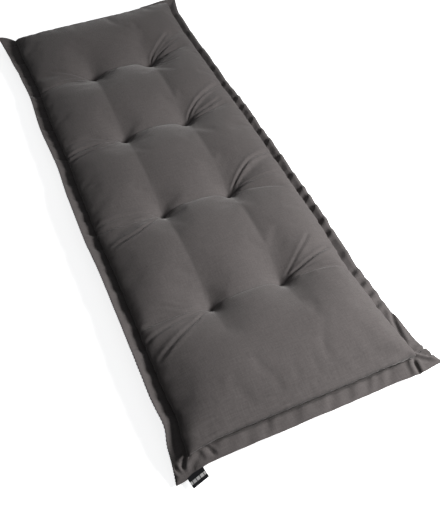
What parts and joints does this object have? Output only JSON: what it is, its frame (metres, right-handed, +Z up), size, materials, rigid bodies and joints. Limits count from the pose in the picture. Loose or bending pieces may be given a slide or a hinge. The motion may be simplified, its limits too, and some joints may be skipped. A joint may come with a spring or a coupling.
{
  "type": "bench cushion",
  "caption": "Tufted bench cushion in dark woven canvas, with a flat sewn flange all round, drawn-in sides, loose corners and a small folded tab at one corner.",
  "frame": {"origin": "on the surface that the cushion lies on, under the middle of its outline", "axes": "+X along the length, towards the end with the tab; +Y across the width; +Z up, out of the face that is sat on"},
  "size_m": [1.2185, 0.4825, 0.0751],
  "materials": {
    "cover_canvas": "matt anthracite plain-woven canvas with a faint sheen",
    "tab_tape": "black woven satin tape, folded once"
  },
  "bodies": {
    "root": {"cushion": "cover_canvas", "tab": "tab_tape"}
  },
  "joints": []
}
